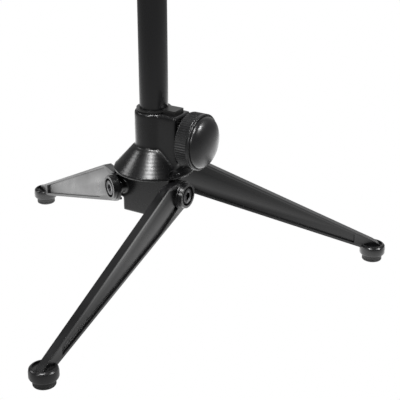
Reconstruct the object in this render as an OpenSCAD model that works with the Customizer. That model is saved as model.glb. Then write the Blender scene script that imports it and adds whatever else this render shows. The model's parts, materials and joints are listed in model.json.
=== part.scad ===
// Music stand: folding cast tripod base, clamped telescopic pole, swivelling and tilting desk.
// The floor is z = 0 and the pole stands on the Z axis. The base knob points along +X,
// the first leg points along -Y, and the desk faces -Y.

/* [Pole] */
// Outer diameter of the lower tube
lower_tube_d = 25; // [24.5:0.1:25.5]
// Outer diameter of the upper tube
upper_tube_d = 19; // [18.5:0.1:19.5]
// Wall thickness of both tubes
tube_wall = 1.5; // [1.2:0.1:1.6]
// Height of the lower tube's upper end
lower_tube_top = 556; // [540:1:600]
// Height of the tilt axis with the upper tube pushed down
tilt_z = 700; // [700:1:720]

/* [Base] */
// Height of the leg pivots
pivot_z = 87.8; // [87.6:0.1:88]
// Radius of the hub's rim ring
ring_r = 36.1; // [35.6:0.1:36.4]
// Radius of the hub's sleeve
sleeve_r = 17; // [17:0.1:17.5]
// Height of the top of the sleeve
sleeve_top = 158; // [157.6:0.1:160]
// Distance of a foot from the pole's axis, along its leg
foot_reach = 201.7; // [200:0.1:205]
// Radius of the round foot at the end of a leg
foot_r = 11.9; // [11.5:0.1:12.2]
// Radius of the clamp knob
knob_r = 24.5; // [23:0.1:25]

/* [Desk] */
// Width of the desk
desk_w = 500; // [440:1:520]
// Height of the desk along its own plane
desk_h = 340; // [300:1:350]
// Depth of the ledge in front of the desk
ledge_d = 56; // [50:1:60]
// Lean of the desk, back from vertical
desk_lean = 20; // [15:1:25]

/* [Hidden] */
$fn = 64;

// overshoot of a cut, clearance of a running fit, and the gap between pieces that only meet
eps = 0.5;
fit = 0.05;
gap = 0.3;
black = [0.08, 0.08, 0.085];
rubber = [0.04, 0.04, 0.04];
steel = [0.6, 0.6, 0.62];
brass = [0.7, 0.55, 0.25];

legs = 3;
leg_turn = 360 / legs;

// hub
ring_z = 103.5;
ring_h = 2.5;
ring_step = 0.5;
hub_bottom = 65;
hub_flat = 20;
flare_z = 80;
flare_r = 28.7;
skirt_top = 125;
skirt_r = sleeve_r + 1.8;
bore_r = lower_tube_d / 2 + fit;
liner_r = 14;
liner_z = 118;
liner_rim_r = 15.2;
liner_rim_h = 1.6;
boss_x = 30;
boss_half = 12.75;
boss_top = 157.5;
key_half = 6.75;
key_x = 26;
key_sink = 2;
key_top = 161;
ear_r = 10.6;
ear_start = 14;
ear_side = 27.6;
ear_face = 31.6;
seat_r = 6.4;
pocket_h = ring_z - hub_bottom + 0.3;
tube_foot = 69;
pole_stop_z = 67;
pole_stop_r = 9;

// legs: rho runs outwards along the leg, u along its pivot bolt
pivot_rho = 9.9;
root_r = 12.8;
root_disc_r = 12.4;
knuckle_r = 10.8;
knuckle_in = 34.6;
root_out = 37;
knuckle_out = 40.6;
counterbore_r = 8.6;
counterbore_u = 37;
foot_u = 31.2;
blade_u = 32.1;
blade_half = 3.6;
web_half = 1.3;
flange = 2.4;
lap_r = 11.6;
root_flat_rho = 31.6;
root_top = 101.4;
heel_rho = 45.9;
heel_z = 62;
blade_end_z = 19.6;
blade_low_rho = 190;
blade_end_rho = 209;
top_slope = (root_top - blade_end_z) / (foot_reach - root_flat_rho);
bottom_slope = 0.342;
recess_end = 184;
foot_z = 6.2;
foot_top = 16;
foot_round = 1.5;
dish_depth = 1.5;
pad_r = 9.2;
screw_r = 2;
screw_head_r = 4;
screw_head_h = 1.6;
screw_z = 2.5;
screw_top = 13;

// fasteners
bolt_r = 4;
bolt_head_r = 6.5;
bolt_head_h = 3.2;
hex_key_depth = 2;
bolt_tip_u = 11.6;
bolt_end_u = counterbore_u + bolt_head_h;
hex_key_r = 3.5;
washer_r = 6.3;

// base clamp
clamp_z = 136;
stud_r = 4;
shoe_r = 4.8;
shoe_len = 4.4;
base_pin_r = 2;
knob_x = 36;
knob_rim = 14;
dome_h = 8.8;
dome_r = 22.6;

// collar on the lower tube, and its clamp
collar_bottom = lower_tube_top - 28;
collar_top = lower_tube_top + 26;
collar_r = 16.5;
collar_liner_r = 12;
collar_boss_x = 25;
collar_boss_half = 9.5;
collar_clamp_z = lower_tube_top + 8;
collar_stud_r = 3;
collar_shoe_r = 3.8;
collar_shoe_len = 3.6;
collar_pin_r = 1.5;
small_knob_r = 17.5;
small_knob_x = 29;
small_knob_rim = 10;
small_dome_h = 6;
small_dome_r = 16;

// upper tube and its head
upper_r = upper_tube_d / 2;
upper_bore_r = upper_r + fit;
upper_foot = 166;
socket_r = 13.5;
socket_bottom = tilt_z - 46;
socket_top = tilt_z - 14;
upper_top = tilt_z - 18;
lug_half = 6;
lug_r = 11;

// desk: y is measured from the tilt axis along the desk's normal, z along the desk
tilt_bolt_r = 3;
tilt_head_r = 6;
tilt_head_h = 3;
tilt_washer_r = 8;
tilt_washer_h = 1.2;
ear_in = lug_half + tilt_washer_h + 2 * fit;
ear_t = 2.5;
ear_out = ear_in + ear_t;
desk_back = 29;
desk_t = 1.2;
desk_low = -100;
desk_high = desk_low + desk_h;
desk_corner = 24;
lip = 7;
ledge_lip = 13;
ledge_flange = 18;
ledge_front = desk_back + desk_t + gap / 3;
strip_inset = 8;
strip_margin = 10;
strip_t = 1.5;
bracket_w = 64;
bracket_h = 80;
bracket_low = -34;
rivet_x = 24;
rivet_z = [-24, 36];
rivet_r = 3.4;
tilt_knob_x = socket_r + 1;
tilt_knob_len = 14;
insert_r = 5;
insert_depth = 10;

// turns and moves for the three legs
module on_leg(k) {
    rotate([0, 0, leg_turn * k]) children();
}

// a round piece along +X, from x0 to x1
module rod_x(r, x0, x1, fn = 64) {
    translate([x0, 0, 0]) rotate([0, 90, 0]) cylinder(r = r, h = x1 - x0, $fn = fn);
}

// a round piece along the pivot of the leg that points along -Y
module on_pivot(r, u0, u1, fn = 64) {
    translate([0, -pivot_rho, pivot_z]) rod_x(r, u0, u1, fn);
}

// an outline of (rho, z) points, made solid from u0 to u1
module leg_plate(u0, u1) {
    rotate([90, 0, -90]) translate([0, 0, -u1]) linear_extrude(u1 - u0) children();
}

// a tube on the Z axis
module tube(r_out, r_in, z0, z1) {
    difference() {
        translate([0, 0, z0]) cylinder(r = r_out, h = z1 - z0);
        translate([0, 0, z0 - eps]) cylinder(r = r_in, h = z1 - z0 + 2 * eps);
    }
}

// ---- base ----

// the three flat sides of the hub, without end
module hub_flats(z0, z1) {
    translate([0, 0, z0]) rotate([0, 0, 90]) cylinder(r = 2 * hub_flat, h = z1 - z0, $fn = legs);
}

// the corners flare out to the rim ring, while the flat sides run straight up to it
module hub_body() {
    intersection() {
        union() {
            translate([0, 0, hub_bottom]) cylinder(r = flare_r, h = flare_z - hub_bottom);
            translate([0, 0, flare_z]) cylinder(r1 = flare_r, r2 = ring_r - ring_step, h = ring_z - flare_z);
            // an ear for each leg: round about the pivot, and carried up to the rim ring
            for (k = [0 : legs - 1]) on_leg(k) {
                on_pivot(ear_r, ear_start, ear_face);
                translate([ear_start, -pivot_rho, pivot_z])
                    cube([ear_face - ear_start, ear_r, ring_z - pivot_z]);
            }
        }
        hub_flats(hub_bottom, ring_z);
    }
}

module hub_casting() {
    color(black) difference() {
        union() {
            hub_body();
            translate([0, 0, ring_z]) cylinder(r = ring_r, h = ring_h);
            // a seat for each leg's washer
            for (k = [0 : legs - 1]) on_leg(k) on_pivot(seat_r, ear_start, ear_face);
            translate([0, 0, ring_z + ring_h])
                cylinder(r1 = ring_r - ring_step + 0.1, r2 = skirt_r, h = skirt_top - ring_z - ring_h);
            translate([0, 0, skirt_top - eps]) cylinder(r = sleeve_r, h = sleeve_top - skirt_top + eps);
            translate([0, -boss_half, ring_z + 1]) cube([boss_x, 2 * boss_half, boss_top - ring_z - 1]);
        }
        // bore for the tube, with the stop that it stands on, and the wider seat of the liner
        translate([0, 0, pole_stop_z]) cylinder(r = bore_r, h = sleeve_top);
        translate([0, 0, hub_bottom - eps]) cylinder(r = pole_stop_r, h = sleeve_top);
        translate([0, 0, liner_z]) cylinder(r = liner_r + fit, h = sleeve_top);
        // the liner's key sits in a slot in the top of the clamp boss
        translate([liner_r - 2, -key_half - fit, boss_top - key_sink])
            cube([key_x + fit - liner_r + 2, 2 * key_half + 2 * fit, 9]);
        // threaded hole for the clamp stud, with room for the shoe
        translate([0, 0, clamp_z]) rod_x(stud_r + fit, liner_r - 2, boss_x + eps);
        translate([0, 0, clamp_z]) rod_x(shoe_r + fit, liner_r - 4, lower_tube_d / 2 + shoe_len + 1.5);
        for (k = [0 : legs - 1]) on_leg(k) {
            // room for the leg's knuckle beside the ear and for its blade past the ear, and the bolt's hole
            translate([ear_face, -50, hub_bottom - eps]) cube([30, 56, pocket_h]);
            difference() {
                translate([ear_side, -50, hub_bottom - eps]) cube([30, 56, pocket_h]);
                on_pivot(ear_r, 0, 60);
            }
            on_pivot(bolt_r + fit, bolt_tip_u - 0.4, 50);
        }
    }
}

module hub_liner() {
    color(black) difference() {
        union() {
            translate([0, 0, liner_z]) cylinder(r = liner_r, h = sleeve_top - liner_z + 0.2);
            translate([0, 0, sleeve_top]) cylinder(r = liner_rim_r, h = liner_rim_h);
            translate([liner_r - 1, -key_half, boss_top - key_sink])
                cube([key_x - liner_r + 1, 2 * key_half, key_top - boss_top + key_sink]);
        }
        translate([0, 0, liner_z - eps]) cylinder(r = bore_r, h = 60);
        translate([0, 0, clamp_z]) rod_x(shoe_r + fit, 8, 20);
    }
}

module pivot_bolts() {
    color(steel) for (k = [0 : legs - 1]) on_leg(k) difference() {
        union() {
            on_pivot(bolt_r, bolt_tip_u, counterbore_u + eps);
            on_pivot(bolt_head_r, counterbore_u + fit, bolt_end_u);
        }
        on_pivot(hex_key_r, bolt_end_u - hex_key_depth, bolt_end_u + eps, 6);
    }
}

module pivot_washers() {
    color(steel) for (k = [0 : legs - 1]) on_leg(k) difference() {
        on_pivot(washer_r, ear_face + fit, knuckle_in - fit);
        on_pivot(bolt_r + 0.2, ear_face - 1, knuckle_in + 1);
    }
}

// ---- legs ----

function leg_top(rho) = root_top - top_slope * max(rho - root_flat_rho, 0);
function leg_bottom(rho) = heel_z - bottom_slope * (rho - heel_rho);

module leg_side() {
    polygon(concat(
        [for (a = [100 : 9 : 253]) [pivot_rho + root_r * cos(a), pivot_z + root_r * sin(a)]],
        [[heel_rho, heel_z], [blade_low_rho, leg_bottom(blade_low_rho)]],
        [[blade_low_rho + 3, foot_z + 2], [blade_end_rho, foot_z + 2], [blade_end_rho, foot_top - 1]],
        [[foot_reach, blade_end_z], [root_flat_rho, root_top], [pivot_rho, root_top]]));
}

module recess_side() {
    polygon(concat(
        [for (a = [40 : -10 : -50]) [pivot_rho + root_r * cos(a), pivot_z + root_r * sin(a)]],
        [[heel_rho, heel_z + flange], [recess_end, leg_bottom(recess_end) + flange],
         [recess_end, leg_top(recess_end) - flange], [root_flat_rho, root_top - flange]]));
}

// a drum with a rounded lower edge and a broader round at its rim
module foot_cup() {
    cup_h = foot_top - foot_z;
    rotate_extrude() polygon([
        [0, 0], [foot_r - foot_round, 0], [foot_r - 0.3 * foot_round, 0.3 * foot_round],
        [foot_r, foot_round], [foot_r, 0.6 * cup_h],
        [foot_r - 0.3 * foot_round, cup_h - foot_round],
        [foot_r - foot_round, cup_h - 0.3 * foot_round],
        [foot_r - 1.6 * foot_round, cup_h], [0, cup_h]]);
}

module leg_casting(k) {
    color(black) on_leg(k) difference() {
        union() {
            leg_plate(blade_u - blade_half, blade_u + blade_half) leg_side();
            on_pivot(root_disc_r, knuckle_in, root_out);
            on_pivot(knuckle_r, knuckle_in, knuckle_out);
            translate([foot_u, -foot_reach, foot_z]) difference() {
                foot_cup();
                difference() {
                    translate([0, 0, foot_top - foot_z - dish_depth])
                        cylinder(r = foot_r - 2 * foot_round, h = dish_depth + eps);
                    translate([blade_u - foot_u - blade_half, 0, 0]) cube([2 * blade_half, foot_r, 20]);
                }
            }
        }
        // side panels
        leg_plate(blade_u + web_half, blade_u + 20) recess_side();
        leg_plate(blade_u - 20, blade_u - web_half) recess_side();
        // half lap that takes the hub's ear
        on_pivot(lap_r, 10, knuckle_in);
        translate([10, -pivot_rho, 60]) cube([knuckle_in - 10, 40, 60]);
        on_pivot(bolt_r + fit, knuckle_in - eps, knuckle_out);
        on_pivot(counterbore_r, counterbore_u, knuckle_out + eps);
        translate([foot_u, -foot_reach, 0]) cylinder(r = screw_r + fit, h = screw_top + 0.2);
    }
}

module foot_pad(k) {
    color(rubber) on_leg(k) translate([foot_u, -foot_reach, 0]) difference() {
        union() {
            cylinder(r1 = pad_r - 0.8, r2 = pad_r, h = 1);
            translate([0, 0, 1]) cylinder(r = pad_r, h = foot_z - 1);
        }
        translate([0, 0, -eps]) cylinder(r = screw_r + fit, h = 12);
        translate([0, 0, -eps]) cylinder(r = screw_head_r + fit, h = screw_z + eps);
    }
}

module foot_screw(k) {
    color(steel) on_leg(k) translate([foot_u, -foot_reach, 0]) {
        translate([0, 0, screw_z - screw_head_h]) cylinder(r = screw_head_r, h = screw_head_h);
        translate([0, 0, screw_z - eps]) cylinder(r = screw_r, h = screw_top - screw_z + eps);
    }
}

// ---- clamps: each stud turns in its shoe, and both move along the screw's axis ----

module clamp_shoe(face_x, r, length, pin_r) {
    color(brass) difference() {
        rod_x(r, face_x + fit, face_x + length);
        rod_x(pin_r + fit, face_x + length / 2, face_x + length + eps);
    }
}

module clamp_stud(face_x, r, length, pin_r, end_x) {
    color(steel) {
        rod_x(pin_r, face_x + length / 2 + fit, face_x + length + 2);
        rod_x(r, face_x + length + fit, end_x);
    }
}

// a knob along +X: a rim that is hollow behind, round a boss that holds the stud
module knob_grip(x, r, rim, boss_r, hole_r, hole_x) {
    color(black) difference() {
        union() {
            difference() {
                rod_x(r, x, x + rim, 96);
                rod_x(r - 3, x - eps, x + rim / 2);
            }
            rod_x(boss_r, x, x + rim);
        }
        rod_x(hole_r, x - eps, hole_x);
    }
}

module knob_cap(x, r, h) {
    color(black) translate([x, 0, 0]) rotate([0, 90, 0]) rotate_extrude($fn = 96)
        polygon(concat([[0, 0]], [for (a = [0 : 6 : 90]) [r * cos(a), h * sin(a)]]));
}

module base_clamp_shoe() {
    translate([0, 0, clamp_z]) clamp_shoe(lower_tube_d / 2, shoe_r, shoe_len, base_pin_r);
}

module base_clamp_stud() {
    translate([0, 0, clamp_z]) clamp_stud(lower_tube_d / 2, stud_r, shoe_len, base_pin_r, knob_x + 10);
}

module base_knob_grip() {
    translate([0, 0, clamp_z]) knob_grip(knob_x, knob_r, knob_rim, 9, stud_r, knob_x + 10);
}

module base_knob_cap() {
    translate([0, 0, clamp_z]) knob_cap(knob_x + knob_rim, dome_r, dome_h);
}

module collar_clamp_shoe() {
    translate([0, 0, collar_clamp_z]) clamp_shoe(upper_r, collar_shoe_r, collar_shoe_len, collar_pin_r);
}

module collar_clamp_stud() {
    translate([0, 0, collar_clamp_z])
        clamp_stud(upper_r, collar_stud_r, collar_shoe_len, collar_pin_r, small_knob_x + 8);
}

module collar_knob_grip() {
    translate([0, 0, collar_clamp_z])
        knob_grip(small_knob_x, small_knob_r, small_knob_rim, 7, collar_stud_r, small_knob_x + 8);
}

module collar_knob_cap() {
    translate([0, 0, collar_clamp_z]) knob_cap(small_knob_x + small_knob_rim, small_dome_r, small_dome_h);
}

// ---- pole ----

module lower_tube() {
    color(black) tube(lower_tube_d / 2, lower_tube_d / 2 - tube_wall, tube_foot, lower_tube_top);
}

module tube_end_plug() {
    color(rubber) {
        translate([0, 0, pole_stop_z]) cylinder(r = lower_tube_d / 2 - 0.2, h = tube_foot - pole_stop_z);
        translate([0, 0, tube_foot - eps]) cylinder(r = lower_tube_d / 2 - tube_wall, h = 12);
    }
}

module collar_casting() {
    color(black) difference() {
        union() {
            translate([0, 0, collar_bottom]) cylinder(r = collar_r, h = collar_top - collar_bottom);
            translate([0, -collar_boss_half, collar_clamp_z - 13])
                cube([collar_boss_x, 2 * collar_boss_half, 29]);
        }
        translate([0, 0, collar_bottom - eps])
            cylinder(r = lower_tube_d / 2, h = lower_tube_top - collar_bottom + eps);
        translate([0, 0, lower_tube_top - eps]) cylinder(r = collar_liner_r, h = 40);
        translate([0, 0, collar_clamp_z])
            rod_x(collar_stud_r + fit, collar_liner_r - 2, collar_boss_x + eps);
        translate([0, 0, collar_clamp_z])
            rod_x(collar_shoe_r + fit, collar_liner_r - 3, upper_r + collar_shoe_len + 1.2);
    }
}

module collar_liner() {
    color(black) difference() {
        union() {
            translate([0, 0, lower_tube_top])
                cylinder(r = collar_liner_r - fit, h = collar_top - lower_tube_top + 0.2);
            translate([0, 0, collar_top]) cylinder(r = collar_r - 1.5, h = 1.8);
        }
        translate([0, 0, lower_tube_top - eps]) cylinder(r = upper_bore_r, h = 40);
        translate([0, 0, collar_clamp_z]) rod_x(collar_shoe_r + fit, 5, 20);
    }
}

module upper_tube() {
    color(black) tube(upper_r, upper_r - tube_wall, upper_foot, upper_top);
}

module guide_bush() {
    color(rubber) difference() {
        union() {
            translate([0, 0, upper_foot - 4]) cylinder(r = lower_tube_d / 2 - tube_wall - fit, h = 4);
            translate([0, 0, upper_foot - eps]) cylinder(r = upper_r - tube_wall, h = 14);
        }
        translate([0, 0, upper_foot - 5]) cylinder(r = 5, h = 30);
    }
}

module swivel_head() {
    color(black) difference() {
        union() {
            translate([0, 0, socket_bottom]) cylinder(r = socket_r, h = socket_top - socket_bottom);
            translate([-lug_half, -lug_r, socket_top - 6])
                cube([2 * lug_half, 2 * lug_r, tilt_z - socket_top + 6]);
            translate([0, 0, tilt_z]) rod_x(lug_r, -lug_half, lug_half);
        }
        translate([0, 0, socket_bottom - eps])
            cylinder(r = upper_bore_r, h = upper_top + fit - socket_bottom + eps);
        translate([0, 0, tilt_z]) rod_x(tilt_bolt_r + fit, -20, 20);
    }
}

// ---- desk, drawn upright round the tilt axis and then leaned back ----

module on_desk() {
    translate([0, 0, tilt_z]) rotate([-desk_lean, 0, 0]) children();
}

// a plate parallel to the desk, whose front is at y = -(back + t)
module desk_plate(back, t) {
    translate([0, -back, 0]) rotate([90, 0, 0]) linear_extrude(t) children();
}

module rounded_top(w, z0, z1, r) {
    translate([-w / 2, z0]) square([w, z1 - z0 - r]);
    translate([-w / 2 + r, z0]) square([w - 2 * r, z1 - z0]);
    for (s = [-1, 1]) translate([s * (w / 2 - r), z1 - r]) circle(r = r);
}

module desk_panel() {
    color(black) on_desk() {
        desk_plate(desk_back, desk_t) rounded_top(desk_w, desk_low, desk_high, desk_corner);
        // lip bent back round the top and the sides
        desk_plate(desk_back - lip, lip + eps) difference() {
            rounded_top(desk_w, desk_low, desk_high, desk_corner);
            rounded_top(desk_w - 2 * desk_t, desk_low - eps, desk_high - desk_t, desk_corner - desk_t);
        }
    }
}

module desk_ledge() {
    color(black) on_desk() {
        translate([-desk_w / 2, -ledge_front - ledge_d, desk_low]) cube([desk_w, ledge_d, desk_t]);
        translate([-desk_w / 2, -ledge_front - ledge_d, desk_low]) cube([desk_w, desk_t, ledge_lip]);
        translate([-desk_w / 2, -ledge_front - desk_t, desk_low]) cube([desk_w, desk_t, ledge_flange]);
    }
}

module ledge_strip() {
    color(rubber) on_desk()
        translate([-desk_w / 2 + strip_inset, -ledge_front - ledge_d + strip_margin, desk_low + desk_t])
            cube([desk_w - 2 * strip_inset, ledge_d - 2 * strip_margin, strip_t]);
}

module desk_bracket() {
    color(black) on_desk() difference() {
        union() {
            desk_plate(desk_back - 2, 2)
                translate([-bracket_w / 2, bracket_low]) square([bracket_w, bracket_h]);
            for (x = [-ear_out, ear_in]) translate([x, 0, 0]) {
                rod_x(lug_r, 0, ear_t);
                translate([0, -desk_back + 1, -lug_r]) cube([ear_t, desk_back - 1, 2 * lug_r]);
            }
        }
        rod_x(tilt_bolt_r + fit, -30, 30);
    }
}

module desk_rivets() {
    color(black) on_desk() {
        for (x = [-rivet_x, rivet_x], z = rivet_z) translate([x, 0, z]) {
            desk_plate(desk_back + desk_t, 1.2) circle(r = rivet_r);
            desk_plate(desk_back - 3.4, 1.3) circle(r = rivet_r);
        }
        for (x = [-2, -1, 1, 2]) translate([x * desk_w / 5, 0, desk_low + 11])
            desk_plate(desk_back + 2 * desk_t + gap / 3, 1.2) circle(r = rivet_r);
    }
}

module tilt_bolt() {
    color(steel) on_desk() {
        rod_x(tilt_head_r, -ear_out - tilt_head_h, -ear_out);
        rod_x(tilt_bolt_r, -ear_out - 1, tilt_knob_x + 9);
    }
}

module tilt_washers() {
    color(steel) translate([0, 0, tilt_z])
        for (x = [-lug_half - tilt_washer_h - fit, lug_half + fit]) difference() {
            rod_x(tilt_washer_r, x, x + tilt_washer_h);
            rod_x(tilt_bolt_r + fit, x - eps, x + tilt_washer_h + eps);
        }
}

module tilt_knob_nut() {
    color(brass) on_desk() difference() {
        rod_x(insert_r, ear_out + fit, tilt_knob_x + insert_depth);
        rod_x(tilt_bolt_r + fit, ear_out - eps, tilt_knob_x + insert_depth - 0.8);
    }
}

module tilt_knob_grip() {
    color(black) on_desk() difference() {
        rod_x(small_knob_r, tilt_knob_x, tilt_knob_x + tilt_knob_len, 96);
        rod_x(insert_r, tilt_knob_x - eps, tilt_knob_x + insert_depth);
    }
}

hub_casting();
hub_liner();
pivot_bolts();
pivot_washers();
leg_casting(0);  // leg_casting_1
leg_casting(1);  // leg_casting_2
leg_casting(2);  // leg_casting_3
foot_pad(0);  // foot_pad_1
foot_pad(1);  // foot_pad_2
foot_pad(2);  // foot_pad_3
foot_screw(0);  // foot_screw_1
foot_screw(1);  // foot_screw_2
foot_screw(2);  // foot_screw_3
base_clamp_shoe();
base_clamp_stud();
base_knob_grip();
base_knob_cap();
lower_tube();
tube_end_plug();
collar_casting();
collar_liner();
collar_clamp_shoe();
collar_clamp_stud();
collar_knob_grip();
collar_knob_cap();
upper_tube();
guide_bush();
swivel_head();
tilt_washers();
desk_bracket();
desk_panel();
desk_ledge();
ledge_strip();
desk_rivets();
tilt_bolt();
tilt_knob_grip();
tilt_knob_nut();
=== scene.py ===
"""The looks of a folding music stand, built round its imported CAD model.

Lengths are in millimetres, and MM turns them into Blender's metres. Pieces are made where they stand in
the model's own frame: the floor is z = 0, the pole stands on the Z axis, the base knob points along +X,
leg 1 points along -Y and the desk faces -Y.
"""

import json
import math

import bmesh
import bpy
from mathutils import Matrix, Vector

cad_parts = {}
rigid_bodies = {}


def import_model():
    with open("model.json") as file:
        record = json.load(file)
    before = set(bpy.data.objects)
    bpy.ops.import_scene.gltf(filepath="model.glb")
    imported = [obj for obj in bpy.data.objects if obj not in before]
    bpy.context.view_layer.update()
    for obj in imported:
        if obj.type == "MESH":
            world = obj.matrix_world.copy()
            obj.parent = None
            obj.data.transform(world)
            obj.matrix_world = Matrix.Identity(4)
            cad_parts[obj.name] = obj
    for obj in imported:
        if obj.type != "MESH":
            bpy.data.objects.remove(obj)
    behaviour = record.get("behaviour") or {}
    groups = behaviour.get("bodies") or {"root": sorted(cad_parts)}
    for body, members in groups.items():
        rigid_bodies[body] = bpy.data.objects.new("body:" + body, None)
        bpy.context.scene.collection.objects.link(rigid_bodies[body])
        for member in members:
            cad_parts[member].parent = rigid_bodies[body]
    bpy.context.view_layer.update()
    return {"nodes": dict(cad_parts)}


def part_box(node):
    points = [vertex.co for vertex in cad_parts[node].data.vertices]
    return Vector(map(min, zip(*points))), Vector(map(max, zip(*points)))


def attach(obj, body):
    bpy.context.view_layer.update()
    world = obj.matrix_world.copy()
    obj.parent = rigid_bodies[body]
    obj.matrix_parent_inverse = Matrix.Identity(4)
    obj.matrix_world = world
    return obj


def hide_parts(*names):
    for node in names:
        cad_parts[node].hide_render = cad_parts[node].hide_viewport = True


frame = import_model()

MM = 0.001
LEGS = 3
WELD = 1e-6

# ---- the model's own sizes, read from the frame ----


def span(node, axis):
    """Where a CAD node begins and ends along an axis (0, 1 or 2), in millimetres."""
    low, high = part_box(node)
    return low[axis] / MM, high[axis] / MM


KNOB_BACK, KNOB_RIM = span("base_knob_grip", 0)
KNOB_TIP = span("base_knob_cap", 0)[1]
KNOB_LOW, KNOB_HIGH = span("base_knob_grip", 2)
KNOB_R = (KNOB_HIGH - KNOB_LOW) / 2
KNOB_Z = (KNOB_HIGH + KNOB_LOW) / 2
CAP_R = (span("base_knob_cap", 2)[1] - span("base_knob_cap", 2)[0]) / 2
COLLAR_KNOB_BACK, COLLAR_KNOB_RIM = span("collar_knob_grip", 0)
COLLAR_KNOB_TIP = span("collar_knob_cap", 0)[1]
COLLAR_KNOB_Z = sum(span("collar_knob_grip", 2)) / 2
SMALL_KNOB_R = span("collar_knob_grip", 2)[1] - COLLAR_KNOB_Z
SMALL_CAP_R = span("collar_knob_cap", 2)[1] - COLLAR_KNOB_Z
TILT_KNOB_BACK, TILT_KNOB_TIP = span("tilt_knob_grip", 0)
TILT_Z = sum(span("tilt_knob_grip", 2)) / 2
LOWER_R = span("lower_tube", 0)[1]
UPPER_R = span("upper_tube", 0)[1]
FOOT_X = sum(span("foot_pad_1", 0)) / 2
FOOT_Y = sum(span("foot_pad_1", 1)) / 2
PAD_R = span("foot_pad_1", 0)[1] - FOOT_X
PAD_TOP = span("foot_pad_1", 2)[1]
DESK_HALF = span("desk_panel", 0)[1]

# sizes of the hub that its box can't give: it is rounded further above its rim ring, its sleeve and its clamp
# boss get chamfered top edges, and its cone below the sleeve keeps marks of turning
HUB_UPPER_Z = 106
SLEEVE_FOOT_Z = 123
SLEEVE_R = 17
SLEEVE_TOP = span("hub_casting", 2)[1]
BOSS_START = 11.2
BOSS_X = 30
BOSS_HALF = 12.75
BOSS_TOP = 157.5
EDGE_BREAK = 1.7
POLISH_ROUNDS = 18
TURNING_PITCH = 2.6
TURNING_DEPTH = 0.02

# sizes of the desk that its leaned box can't give
TUBE_WALL = 1.5
DESK_LEAN = 20
DESK_BACK = 29
DESK_T = 1.2
DESK_LOW = -100
DESK_HIGH = 240
DESK_CORNER = 24
DESK_LIP = 8.2
LEDGE_DEPTH = 56
LEDGE_LIP = 13
LEDGE_FLANGE = 18
STRIP_T = 1.5
RIVET_R = 3.4
RIVET_X = 24
RIVET_Z = (-24, 36)

ALONG_X = Matrix.Rotation(math.radians(90), 4, "Y")
ON_DESK = Matrix.Translation((0, 0, TILT_Z)) @ Matrix.Rotation(math.radians(-DESK_LEAN), 4, "X")

# ---- mesh helpers ----


def leg_turn(k):
    """Turns leg 1's place into that of leg k + 1."""
    return Matrix.Rotation(math.tau * k / LEGS, 4, "Z")


def add_piece(name, bm, place=Matrix.Identity(4), sharp=35):
    """A new object from a bmesh in millimetres, which is put in place and shaded smooth up to an angle."""
    bmesh.ops.recalc_face_normals(bm, faces=bm.faces)
    mesh = bpy.data.meshes.new(name)
    bm.to_mesh(mesh)
    bm.free()
    mesh.transform(Matrix.Scale(MM, 4) @ place)
    obj = bpy.data.objects.new(name, mesh)
    bpy.context.scene.collection.objects.link(obj)
    shade(obj, sharp)
    return obj


def shade(obj, sharp):
    """Smooth shading, with edges sharper than an angle in degrees left crisp."""
    obj.data.polygons.foreach_set("use_smooth", [True] * len(obj.data.polygons))
    obj.data.set_sharp_from_angle(angle=math.radians(sharp))


def settle(obj, sharp=35):
    """Turns an object's modifiers into its mesh."""
    depsgraph = bpy.context.evaluated_depsgraph_get()
    mesh = bpy.data.meshes.new_from_object(obj.evaluated_get(depsgraph))
    obj.modifiers.clear()
    obj.data = mesh
    shade(obj, sharp)
    return obj


def dress(obj, body, material, *nodes):
    """Gives a piece its material, its body and the CAD nodes that it stands for."""
    obj.data.materials.clear()
    obj.data.materials.append(material)
    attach(obj, body)
    if nodes:
        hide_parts(*nodes)
    return obj


def cad_copy(name, node):
    """A free copy of a CAD node's mesh, with its seams welded."""
    bm = bmesh.new()
    bm.from_mesh(frame["nodes"][node].data)
    bmesh.ops.remove_doubles(bm, verts=bm.verts, dist=WELD)
    bmesh.ops.scale(bm, vec=(1 / MM,) * 3, verts=bm.verts)
    return add_piece(name, bm)


def cast(name, node, voxel, rounds):
    """A casting: the CAD solid as one skin, with rounded edges and filleted corners."""
    obj = cad_copy(name, node)
    skin = obj.modifiers.new("skin", "REMESH")
    skin.mode = "VOXEL"
    skin.voxel_size = voxel * MM
    soften = obj.modifiers.new("soften", "SMOOTH")
    soften.factor = 0.5
    soften.iterations = rounds
    return settle(obj, sharp=80)


def eased(a, b, edge_a, edge_b):
    """Moves a point (a, b) back to the chamfer across the edge where a = edge_a meets b = edge_b."""
    excess = a - edge_a + b - edge_b + EDGE_BREAK
    if excess <= 0 or a < edge_a - EDGE_BREAK or b < edge_b - EDGE_BREAK:
        return a, b
    return a - excess / 2, b - excess / 2


def polish_hub(obj):
    """Rounds the hub's upper edges further, and leaves faint turning marks on its cone."""
    bm = bmesh.new()
    bm.from_mesh(obj.data)
    upper = [v for v in bm.verts if v.co.z > HUB_UPPER_Z * MM]
    for v in upper:
        x, y, z = v.co / MM
        if x > BOSS_START:
            side = math.copysign(1, y)
            x, z = eased(x, z, BOSS_X, BOSS_TOP)
            wide, z = eased(abs(y), z, BOSS_HALF, BOSS_TOP)
            x, wide = eased(x, wide, BOSS_X, BOSS_HALF)
            y = side * wide
        else:
            radius = math.hypot(x, y)
            inner, z = eased(radius, z, SLEEVE_R, SLEEVE_TOP)
            x, y = x * inner / radius, y * inner / radius
        v.co = Vector((x, y, z)) * MM
    every_axis = {"use_axis_x": True, "use_axis_y": True, "use_axis_z": True}
    for _ in range(POLISH_ROUNDS):
        bmesh.ops.smooth_vert(bm, verts=upper, factor=0.5, **every_axis)
    bm.normal_update()
    for v in upper:
        if v.co.z < SLEEVE_FOOT_Z * MM and math.hypot(v.co.x, v.co.y) > LOWER_R * MM:
            turns = v.co.z / (TURNING_PITCH * MM)
            v.co += v.normal * (TURNING_DEPTH * MM * math.sin(2 * math.pi * turns))
    bm.to_mesh(obj.data)
    bm.free()


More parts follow.
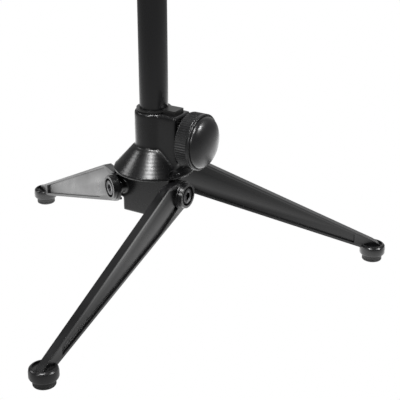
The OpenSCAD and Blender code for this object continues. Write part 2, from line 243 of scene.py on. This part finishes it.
def machined(name, node, bevel):
    """A machined or pressed piece: the CAD solid with its edges broken."""
    obj = cad_copy(name, node)
    bm = bmesh.new()
    bm.from_mesh(obj.data)
    bmesh.ops.dissolve_limit(bm, angle_limit=math.radians(0.5), verts=bm.verts, edges=bm.edges)
    bm.to_mesh(obj.data)
    bm.free()
    edge = obj.modifiers.new("edge", "BEVEL")
    edge.width = bevel * MM
    edge.segments = 2
    edge.limit_method = "ANGLE"
    edge.angle_limit = math.radians(30)
    return settle(obj, sharp=25)


def rounded(corners, closed=False, steps=4):
    """The points of an outline whose corners are (x, y, radius)."""
    points = []
    count = len(corners)
    for i, (x, y, radius) in enumerate(corners):
        here = Vector((x, y))
        if radius == 0 or (not closed and i in (0, count - 1)):
            points.append(here)
            continue
        back = (Vector(corners[i - 1][:2]) - here).normalized()
        ahead = (Vector(corners[(i + 1) % count][:2]) - here).normalized()
        half = back.angle(ahead) / 2
        reach = radius / math.tan(half)
        centre = here + (back + ahead).normalized() * (radius / math.sin(half))
        first = here + back * reach - centre
        last = here + ahead * reach - centre
        for k in range(steps + 1):
            points.append(centre + first.lerp(last, k / steps).normalized() * radius)
    return points


def lathe(name, outline, place=Matrix.Identity(4), segments=96, closed=False, shape=None):
    """A turned piece from (radius, height) points, which shape(radius, height, angle) may ripple."""
    bm = bmesh.new()
    rings = []
    for radius, height in outline:
        count = 1 if radius < WELD else segments
        ring = []
        for k in range(count):
            angle = math.tau * k / segments
            r = shape(radius, height, angle) if shape and count > 1 else radius
            ring.append(bm.verts.new((r * math.cos(angle), r * math.sin(angle), height)))
        rings.append(ring)
    following = rings[1:] + rings[:1] if closed else rings[1:]
    for low, high in zip(rings, following):
        for k in range(segments):
            m = k + 1
            corners = [low[k % len(low)], low[m % len(low)], high[m % len(high)], high[k % len(high)]]
            bm.faces.new(list(dict.fromkeys(corners)))
    return add_piece(name, bm, place)


def thread(name, radius, pitch, start, end, place, turns_per_ring=24):
    """A screw's shank from start to end, with a helical thread and closed ends."""
    depth = 0.55 * pitch
    rows = max(8, round((end - start) / pitch * 6))
    bm = bmesh.new()
    rings = []
    for j in range(rows + 1):
        height = start + (end - start) * j / rows
        fade = min(1.0, j / 4, (rows - j) / 4)
        ring = []
        for k in range(turns_per_ring):
            phase = (height / pitch - k / turns_per_ring) % 1
            r = radius - depth * fade * abs(2 * phase - 1)
            angle = math.tau * k / turns_per_ring
            ring.append(bm.verts.new((r * math.cos(angle), r * math.sin(angle), height)))
        rings.append(ring)
    for low, high in zip(rings, rings[1:]):
        for k in range(turns_per_ring):
            m = (k + 1) % turns_per_ring
            bm.faces.new((low[k], low[m], high[m], high[k]))
    bm.faces.new(rings[0])
    bm.faces.new(rings[-1])
    return add_piece(name, bm, place, sharp=60)


def extruded(name, section, x0, x1, place, sharp=35):
    """A closed (y, z) section, drawn out along X."""
    bm = bmesh.new()
    ends = [[bm.verts.new((x, y, z)) for y, z in section] for x in (x0, x1)]
    count = len(section)
    for k in range(count):
        m = (k + 1) % count
        bm.faces.new((ends[0][k], ends[0][m], ends[1][m], ends[1][k]))
    for end in ends:
        bm.faces.new(end)
    return add_piece(name, bm, place, sharp)


# ---- materials ----


def surface(
    slot, colour, roughness, metallic=0.0, coat=0.0, mottle=0.12, smudge=0.05, grains=(), stretch=(1, 1, 1)
):
    """A procedural finish. grains are (size, height) in millimetres of its bumps, coarse to fine."""
    material = bpy.data.materials.new(slot)
    material["slot"] = slot
    material.use_nodes = True
    nodes, links = material.node_tree.nodes, material.node_tree.links
    shader = nodes["Principled BSDF"]
    shader.inputs["Metallic"].default_value = metallic
    shader.inputs["Coat Weight"].default_value = coat
    shader.inputs["Coat Roughness"].default_value = 0.12
    place = nodes.new("ShaderNodeTexCoord")
    scale = nodes.new("ShaderNodeMapping")
    scale.inputs["Scale"].default_value = stretch
    links.new(place.outputs["Object"], scale.inputs["Vector"])

    def noise(size, detail):
        node = nodes.new("ShaderNodeTexNoise")
        node.inputs["Scale"].default_value = 1 / (size * MM)
        node.inputs["Detail"].default_value = detail
        links.new(scale.outputs["Vector"], node.inputs["Vector"])
        return node.outputs["Fac"]

    tint = nodes.new("ShaderNodeMapRange")
    tint.inputs["From Min"].default_value = 0.3
    tint.inputs["From Max"].default_value = 0.7
    tint.inputs["To Min"].default_value = 1 - mottle
    tint.inputs["To Max"].default_value = 1 + mottle
    links.new(noise(9, 4), tint.inputs["Value"])
    paint = nodes.new("ShaderNodeVectorMath")
    paint.operation = "SCALE"
    paint.inputs[0].default_value = colour
    links.new(tint.outputs["Result"], paint.inputs["Scale"])
    links.new(paint.outputs["Vector"], shader.inputs["Base Color"])
    rough = nodes.new("ShaderNodeMapRange")
    rough.inputs["From Min"].default_value = 0.3
    rough.inputs["From Max"].default_value = 0.7
    rough.inputs["To Min"].default_value = roughness - smudge
    rough.inputs["To Max"].default_value = roughness + smudge
    links.new(noise(24, 6), rough.inputs["Value"])
    links.new(rough.outputs["Result"], shader.inputs["Roughness"])
    normal = None
    for size, height in grains:
        bump = nodes.new("ShaderNodeBump")
        bump.inputs["Distance"].default_value = height * MM
        bump.inputs["Strength"].default_value = 1.0
        links.new(noise(size, 3), bump.inputs["Height"])
        if normal:
            links.new(normal, bump.inputs["Normal"])
        normal = bump.outputs["Normal"]
    if normal:
        links.new(normal, shader.inputs["Normal"])
    return material


cast_black = surface("cast_black", (0.006, 0.006, 0.0064), 0.27, grains=((2.2, 0.003),))
leg_black = surface("leg_black", (0.005, 0.005, 0.0054), 0.3, grains=((2.5, 0.003),))
tube_black = surface("tube_black", (0.006, 0.006, 0.0065), 0.3, grains=((0.6, 0.003),), stretch=(1, 1, 0.1))
desk_black = surface(
    "desk_black", (0.009, 0.009, 0.0095), 0.5, mottle=0.2, grains=((0.9, 0.03), (0.3, 0.01))
)
liner_black = surface("liner_black", (0.008, 0.008, 0.008), 0.4, grains=((0.5, 0.006),))
knob_plastic = surface("knob_plastic", (0.010, 0.010, 0.0105), 0.3, grains=((0.45, 0.008),))
rubber = surface("rubber", (0.008, 0.008, 0.008), 0.62, mottle=0.25, grains=((0.7, 0.02), (0.25, 0.01)))
bolt_black = surface("bolt_black", (0.05, 0.05, 0.052), 0.3, metallic=1.0, grains=((0.4, 0.003),))
steel = surface("steel", (0.55, 0.55, 0.57), 0.3, metallic=1.0, grains=((0.3, 0.002),))
brass = surface("brass", (0.72, 0.56, 0.28), 0.32, metallic=1.0, grains=((0.3, 0.002),))

# ---- base ----

hub = cast("hub", "hub_casting", voxel=0.7, rounds=3)
polish_hub(hub)
dress(hub, "base", cast_black, "hub_casting")
dress(machined("hub_liner_sleeve", "hub_liner", 0.5), "base", liner_black, "hub_liner")
dress(machined("pivot_screws", "pivot_bolts", 0.35), "base", bolt_black, "pivot_bolts")
dress(machined("pivot_shims", "pivot_washers", 0.12), "base", bolt_black, "pivot_washers")

leg_mesh = machined("leg_1", "leg_casting_1", 0.6)
for k in range(LEGS):
    leg = leg_mesh
    if k:
        leg = bpy.data.objects.new(f"leg_{k + 1}", leg_mesh.data.copy())
        bpy.context.scene.collection.objects.link(leg)
        leg.data.transform(leg_turn(k))
for k in range(LEGS):
    dress(bpy.data.objects[f"leg_{k + 1}"], f"leg_{k + 1}", leg_black, f"leg_casting_{k + 1}")


def foot_pad(k):
    """A leg's rubber pad, recessed below for its screw, with a grooved side."""
    outline = rounded(
        [
            (4.05, 2.5, 0),
            (4.05, 0, 0.3),
            (PAD_R, 0, 1.0),
            (PAD_R, 2.0, 0.2),
            (PAD_R - 0.5, 2.4, 0.2),
            (PAD_R, 2.8, 0.2),
            (PAD_R, PAD_TOP, 0),
            (2.05, PAD_TOP, 0),
            (2.05, 2.5, 0),
        ],
        closed=True,
    )
    place = leg_turn(k) @ Matrix.Translation((FOOT_X, FOOT_Y, 0))
    pad = lathe(f"rubber_foot_{k + 1}", outline, place, segments=64, closed=True)
    dress(pad, f"leg_{k + 1}", rubber, f"foot_pad_{k + 1}")


for k in range(LEGS):
    foot_pad(k)

# ---- knobs ----


def knurl(radius, count, depth, low, high):
    """Ripples the rim of a knob between two heights."""

    def shape(r, h, angle):
        if r < radius - 0.9 or not low <= h <= high:
            return r
        return r - depth * (0.5 + 0.5 * math.cos(count * angle))

    return shape


def knob(name, radius, back, front, tip, cap_radius, hole, axis_z, knurls, body, grip_node, cap_node):
    """A moulded hand knob: a knurled rim, hollow at the back, and a domed cap with a groove round it."""
    height = front - back
    hollow = height / 2
    hub_radius = radius * 0.37
    knurl_low, knurl_high = 1.0, height * 0.78
    rim = [
        (hole, 0, 0),
        (hub_radius, 0, 0.6),
        (hub_radius, hollow, 0.8),
        (radius - 3, hollow, 0.8),
        (radius - 3, 0, 0.4),
        (radius - 0.4, 0, 0.4),
        (radius, knurl_low, 0),
        (radius, knurl_low + 0.01, 0),
        (radius, knurl_high, 0),
        (radius, knurl_high + 0.01, 0),
        (radius, knurl_high + 0.4, 0),
        (radius - 0.35, knurl_high + 0.7, 0.1),
        (radius, knurl_high + 1.0, 0.2),
        (radius, height - 0.2, 0.8),
        (cap_radius + 0.5, height, 0.3),
        (cap_radius + 0.2, height - 0.7, 0.2),
        (cap_radius - 1.5, height - 0.7, 0),
        (hole, height - 0.7, 0),
    ]
    place = Matrix.Translation((back, 0, axis_z)) @ ALONG_X
    ripple = knurl(radius, knurls, 0.55, knurl_low, knurl_high + 0.005)
    grip = lathe(f"{name}_grip", rounded(rim, closed=True), place, knurls * 6, closed=True, shape=ripple)
    dress(grip, body, knob_plastic, grip_node)
    dome_height = tip - front
    bulge = 2.0
    dome = [(cap_radius - 0.6, height - 1.4), (cap_radius, height - 1.0), (cap_radius, height)]
    for i in range(1, 25):
        angle = math.radians(90 * i / 24)
        r = cap_radius * math.cos(angle) ** (2 / bulge)
        dome.append((r if i < 24 else 0, height + dome_height * math.sin(angle) ** (2 / bulge)))
    cap = lathe(f"{name}_cap", [(0, height - 1.4)] + dome, place, segments=128)
    dress(cap, body, knob_plastic, cap_node)


knob(
    "base_knob", KNOB_R, KNOB_BACK, KNOB_RIM, KNOB_TIP, CAP_R, 4, KNOB_Z, 66,
    "base_knob", "base_knob_grip", "base_knob_cap",
)
knob(
    "collar_knob", SMALL_KNOB_R, COLLAR_KNOB_BACK, COLLAR_KNOB_RIM, COLLAR_KNOB_TIP, SMALL_CAP_R, 3,
    COLLAR_KNOB_Z, 48,
    "collar_knob", "collar_knob_grip", "collar_knob_cap",
)  # fmt: skip

# ---- pole ----


def tube(name, radius, node, body):
    """A tube with its cut ends broken."""
    low, high = span(node, 2)
    inner = radius - TUBE_WALL
    corners = [(inner, low, 0.3), (radius, low, 0.3), (radius, high, 0.4), (inner, high, 0.4)]
    turned = lathe(name, rounded(corners, closed=True), segments=128, closed=True)
    return dress(turned, body, tube_black, node)


tube("lower_pole_tube", LOWER_R, "lower_tube", "lower_pole")
tube("upper_pole_tube", UPPER_R, "upper_tube", "upper_pole")
dress(cast("collar", "collar_casting", voxel=0.55, rounds=4), "lower_pole", cast_black, "collar_casting")
dress(machined("collar_sleeve", "collar_liner", 0.5), "lower_pole", liner_black, "collar_liner")
dress(cast("head", "swivel_head", voxel=0.5, rounds=4), "head", cast_black, "swivel_head")
dress(machined("tilt_shims", "tilt_washers", 0.2), "head", liner_black, "tilt_washers")

# ---- desk ----


def desk_outline():
    """Points and inward directions round the desk's two sides and top, from low left to low right."""
    points = [(Vector((-DESK_HALF, DESK_LOW)), Vector((1, 0)))]
    for side in (-1, 1):
        centre = Vector((side * (DESK_HALF - DESK_CORNER), DESK_HIGH - DESK_CORNER))
        for i in range(13):
            turn = math.radians(90 * i / 12)
            if side < 0:
                out = Vector((-math.cos(turn), math.sin(turn)))
            else:
                out = Vector((math.sin(turn), math.cos(turn)))
            points.append((centre + out * DESK_CORNER, -out))
    points.append((Vector((DESK_HALF, DESK_LOW)), Vector((-1, 0))))
    return points


def desk_panel():
    """The desk's sheet, bent back round its sides and top into a lip."""
    bend = 3.0
    section = rounded([(2 * bend, 0, 0), (0, 0, bend), (0, DESK_LIP, 0)], steps=6)
    bm = bmesh.new()
    rows = []
    for inset, back in section:
        row = []
        for point, inward in desk_outline():
            x, z = point + inward * inset
            row.append(bm.verts.new((x, -(DESK_BACK + DESK_T) + back, z)))
        rows.append(row)
    for near, far in zip(rows, rows[1:]):
        for k in range(len(near) - 1):
            bm.faces.new((near[k], near[k + 1], far[k + 1], far[k]))
    bm.faces.new(rows[0])
    panel = add_piece("desk_sheet", bm, ON_DESK)
    wall = panel.modifiers.new("wall", "SOLIDIFY")
    wall.thickness = DESK_T * MM
    wall.offset = -1
    dress(settle(panel), "desk", desk_black, "desk_panel")


def sheet_section(path, thickness):
    """A closed section round a folded sheet whose outer face follows path."""
    inner = []
    for i, here in enumerate(path):
        before = path[max(i - 1, 0)]
        after = path[min(i + 1, len(path) - 1)]
        along = (after - before).normalized()
        inner.append(here + Vector((along.y, -along.x)) * thickness)
    return path + inner[::-1]


def ledge():
    """The ledge: one sheet folded up behind against the desk and up in front into a lip."""
    back = -(DESK_BACK + DESK_T + 0.1)
    front = back - LEDGE_DEPTH
    bend = 2.4
    outer = rounded(
        [
            (back, DESK_LOW + LEDGE_FLANGE, 0),
            (back, DESK_LOW, bend),
            (front, DESK_LOW, bend),
            (front, DESK_LOW + LEDGE_LIP, 0),
        ],
        steps=5,
    )
    shelf = extruded("desk_shelf", sheet_section(outer, DESK_T), -DESK_HALF, DESK_HALF, ON_DESK)
    edge = shelf.modifiers.new("edge", "BEVEL")
    edge.width = 0.3 * MM
    edge.segments = 2
    edge.limit_method = "ANGLE"
    edge.angle_limit = math.radians(50)
    dress(settle(shelf), "desk", desk_black, "desk_ledge")


def strip():
    """The ribbed rubber strip on the ledge."""
    back = -(DESK_BACK + DESK_T + 0.1) - 10
    depth = LEDGE_DEPTH - 20
    ribs = 12
    low = DESK_LOW + DESK_T
    section = [(back - depth, low), (back, low)]
    for i in range(ribs * 4, -1, -1):
        rise = 0.35 * (0.5 - 0.5 * math.cos(math.tau * i / 4))
        section.append((back - depth + depth * i / (ribs * 4), low + STRIP_T - 0.35 + rise))
    half = DESK_HALF - 8
    dress(extruded("ledge_rubber", section, -half, half, ON_DESK, sharp=60), "desk", rubber, "ledge_strip")


def rivets():
    """The round heads of the rivets through the desk, the bracket and the ledge's flange."""
    bm = bmesh.new()
    spots = [(x, z, -(DESK_BACK + DESK_T), -1) for x in (-RIVET_X, RIVET_X) for z in RIVET_Z]
    spots += [(x, z, -(DESK_BACK - 3.4), 1) for x, z, _, _ in spots[:4]]
    flange = -(DESK_BACK + 2 * DESK_T + 0.1)
    spots += [(x * 2 * DESK_HALF / 5, DESK_LOW + 11, flange, -1) for x in (-2, -1, 1, 2)]
    for x, z, y, side in spots:
        rings = []
        dome = [(RIVET_R, -0.4), (RIVET_R, 0.25), (RIVET_R * 0.85, 0.7), (RIVET_R * 0.55, 1.05), (0.3, 1.2)]
        for r, h in dome:
            ring = []
            for k in range(24):
                a = math.tau * k / 24
                ring.append(bm.verts.new((x + r * math.cos(a), y + side * h, z + r * math.sin(a))))
            rings.append(ring)
        for low, high in zip(rings, rings[1:]):
            for k in range(24):
                m = (k + 1) % 24
                bm.faces.new((low[k], low[m], high[m], high[k]))
        bm.faces.new(rings[0])
        bm.faces.new(rings[-1])
    dress(add_piece("rivet_heads", bm, ON_DESK, sharp=50), "desk", bolt_black, "desk_rivets")


desk_panel()
ledge()
strip()
rivets()
dress(machined("desk_bracket_plate", "desk_bracket", 0.5), "desk", desk_black, "desk_bracket")
dress(machined("tilt_screw", "tilt_bolt", 0.6), "desk", steel, "tilt_bolt")


def tilt_knob():
    """The tilt screw's knob: knurled, with a dished face."""
    height = TILT_KNOB_TIP - TILT_KNOB_BACK
    radius = SMALL_KNOB_R
    outline = rounded(
        [
            (5, 0, 0),
            (radius * 0.55, 0, 0.5),
            (radius - 1.5, 2.5, 1.0),
            (radius, 3.5, 0.4),
            (radius, 4.0, 0),
            (radius, height - 2.5, 0),
            (radius, height - 1.5, 1.2),
            (radius - 2, height, 1.2),
            (radius * 0.6, height, 2.0),
            (radius * 0.5, height - 1.2, 1.5),
            (0, height - 1.2, 0),
        ]
    )
    low = [(0, 10)] + [(5, 10)]
    place = Matrix.Translation((TILT_KNOB_BACK, 0, TILT_Z)) @ ALONG_X
    ripple = knurl(radius, 40, 0.7, 4.0, height - 2.5)
    grip = lathe("tilt_knob_handle", low + [tuple(p) for p in outline], place, 240, shape=ripple)
    dress(grip, "tilt_knob", knob_plastic, "tilt_knob_grip")


tilt_knob()
dress(machined("tilt_insert", "tilt_knob_nut", 0.3), "tilt_knob", brass, "tilt_knob_nut")

# ---- studs ----

stud_start, stud_end = span("base_clamp_stud", 0)
place = Matrix.Translation((0, 0, KNOB_Z)) @ ALONG_X
dress(thread("base_stud", 3.95, 1.25, stud_start, stud_end, place), "base_knob", steel, "base_clamp_stud")
stud_start, stud_end = span("collar_clamp_stud", 0)
place = Matrix.Translation((0, 0, COLLAR_KNOB_Z)) @ ALONG_X
collar_stud = thread("collar_stud", 2.95, 1.0, stud_start, stud_end, place)
dress(collar_stud, "collar_knob", steel, "collar_clamp_stud")

# ---- the CAD nodes that stay ----

KEPT = {
    "base_clamp_shoe": brass, "collar_clamp_shoe": brass, "tube_end_plug": rubber, "guide_bush": liner_black,
}
KEPT.update({f"foot_screw_{k + 1}": steel for k in range(LEGS)})
for node, material in KEPT.items():
    obj = frame["nodes"][node]
    obj.data.materials.clear()
    obj.data.materials.append(material)

# ---- floor, light and camera ----


def seen_white(tree, light):
    """Joins a shader to the output: the camera sees plain white, and surfaces see the shader's light."""
    nodes, links = tree.nodes, tree.links
    path = nodes.new("ShaderNodeLightPath")
    white = nodes.new("ShaderNodeEmission")
    choice = nodes.new("ShaderNodeMixShader")
    links.new(path.outputs["Is Camera Ray"], choice.inputs["Fac"])
    links.new(light, choice.inputs[1])
    links.new(white.outputs["Emission"], choice.inputs[2])
    target = next(node for node in nodes if node.type.startswith("OUTPUT"))
    links.new(choice.outputs["Shader"], target.inputs["Surface"])


def ramp_stops(ramp, stops):
    """Sets a colour ramp to (position, grey level) stops."""
    elements = ramp.color_ramp.elements
    while len(elements) < len(stops):
        elements.new(1.0)
    for element, (position, level) in zip(elements, stops):
        element.position = position
        element.color = (level, level, level, 1)


def white_floor():
    """An overexposed white table: a pool of light behind the stand, which falls off towards the front."""
    bm = bmesh.new()
    bmesh.ops.create_grid(bm, x_segments=1, y_segments=1, size=FLOOR_HALF / MM)
    floor = add_piece("floor", bm)
    material = bpy.data.materials.new("white_table")
    material.use_nodes = True
    nodes, links = material.node_tree.nodes, material.node_tree.links
    nodes.remove(nodes["Principled BSDF"])
    place = nodes.new("ShaderNodeTexCoord")
    distance = nodes.new("ShaderNodeVectorMath")
    distance.operation = "DISTANCE"
    distance.inputs[1].default_value = POOL
    ramp = nodes.new("ShaderNodeValToRGB")
    ramp_stops(ramp, [(0.24, 2.2), (0.35, 0.8), (0.6, 0.4), (0.95, 0.22)])
    glow = nodes.new("ShaderNodeEmission")
    links.new(place.outputs["Object"], distance.inputs[0])
    links.new(distance.outputs["Value"], ramp.inputs["Fac"])
    links.new(ramp.outputs["Color"], glow.inputs["Color"])
    seen_white(material.node_tree, glow.outputs["Emission"])
    floor.data.materials.append(material)
    return floor


def softbox(name, location, target, size, power):
    """A square lamp that faces a point. Places and size are in metres."""
    lamp = bpy.data.lights.new(name, "AREA")
    lamp.shape = "RECTANGLE"
    lamp.size, lamp.size_y = size
    lamp.energy = power
    obj = bpy.data.objects.new(name, lamp)
    obj.location = location
    obj.rotation_euler = (Vector(target) - Vector(location)).to_track_quat("-Z", "Y").to_euler()
    bpy.context.scene.collection.objects.link(obj)
    return obj


def studio_world():
    """A dim room with a pale wall behind the stand, as far round as its back faces."""
    world = bpy.data.worlds.new("studio")
    bpy.context.scene.world = world
    world.use_nodes = True
    nodes, links = world.node_tree.nodes, world.node_tree.links
    place = nodes.new("ShaderNodeTexCoord")
    toward = nodes.new("ShaderNodeVectorMath")
    toward.operation = "DOT_PRODUCT"
    toward.inputs[1].default_value = WALL
    ramp = nodes.new("ShaderNodeValToRGB")
    links.new(place.outputs["Generated"], toward.inputs[0])
    links.new(toward.outputs["Value"], ramp.inputs["Fac"])
    ramp_stops(ramp, [(0.0, 0.08), (0.5, 0.12), (0.8, 0.3), (0.97, 0.8)])
    links.new(ramp.outputs["Color"], nodes["Background"].inputs["Color"])
    seen_white(world.node_tree, nodes["Background"].outputs["Background"])


FLOOR_HALF = 8
POOL = (-0.1, 0.2, 0)
WALL = Vector((-0.3, 0.8, 0.45)).normalized()
floor = white_floor()
studio_world()
HUB = (0, 0, 0.12)
softbox("overhead", (0.05, -0.46, 1.05), HUB, (0.22, 0.3), 9)
softbox("front_glint", (-0.05, -1.15, 0.68), HUB, (0.16, 0.3), 4)
softbox("left_fill", (-1.6, -0.6, 1.2), HUB, (0.5, 0.5), 6)
softbox("right_glint", (1.07, 0.27, 0.92), HUB, (0.2, 0.26), 13)

camera_data = bpy.data.cameras.new("camera")
camera_data.sensor_width = 36
camera_data.lens = 94.95
camera = bpy.data.objects.new("camera", camera_data)
camera.location = (0.4876, -0.7223, 0.4462)
camera.rotation_euler = [math.radians(a) for a in (66.71, 0.0, 31.4)]
bpy.context.scene.collection.objects.link(camera)
bpy.context.scene.camera = camera
bpy.context.scene.view_settings.view_transform = "Standard"
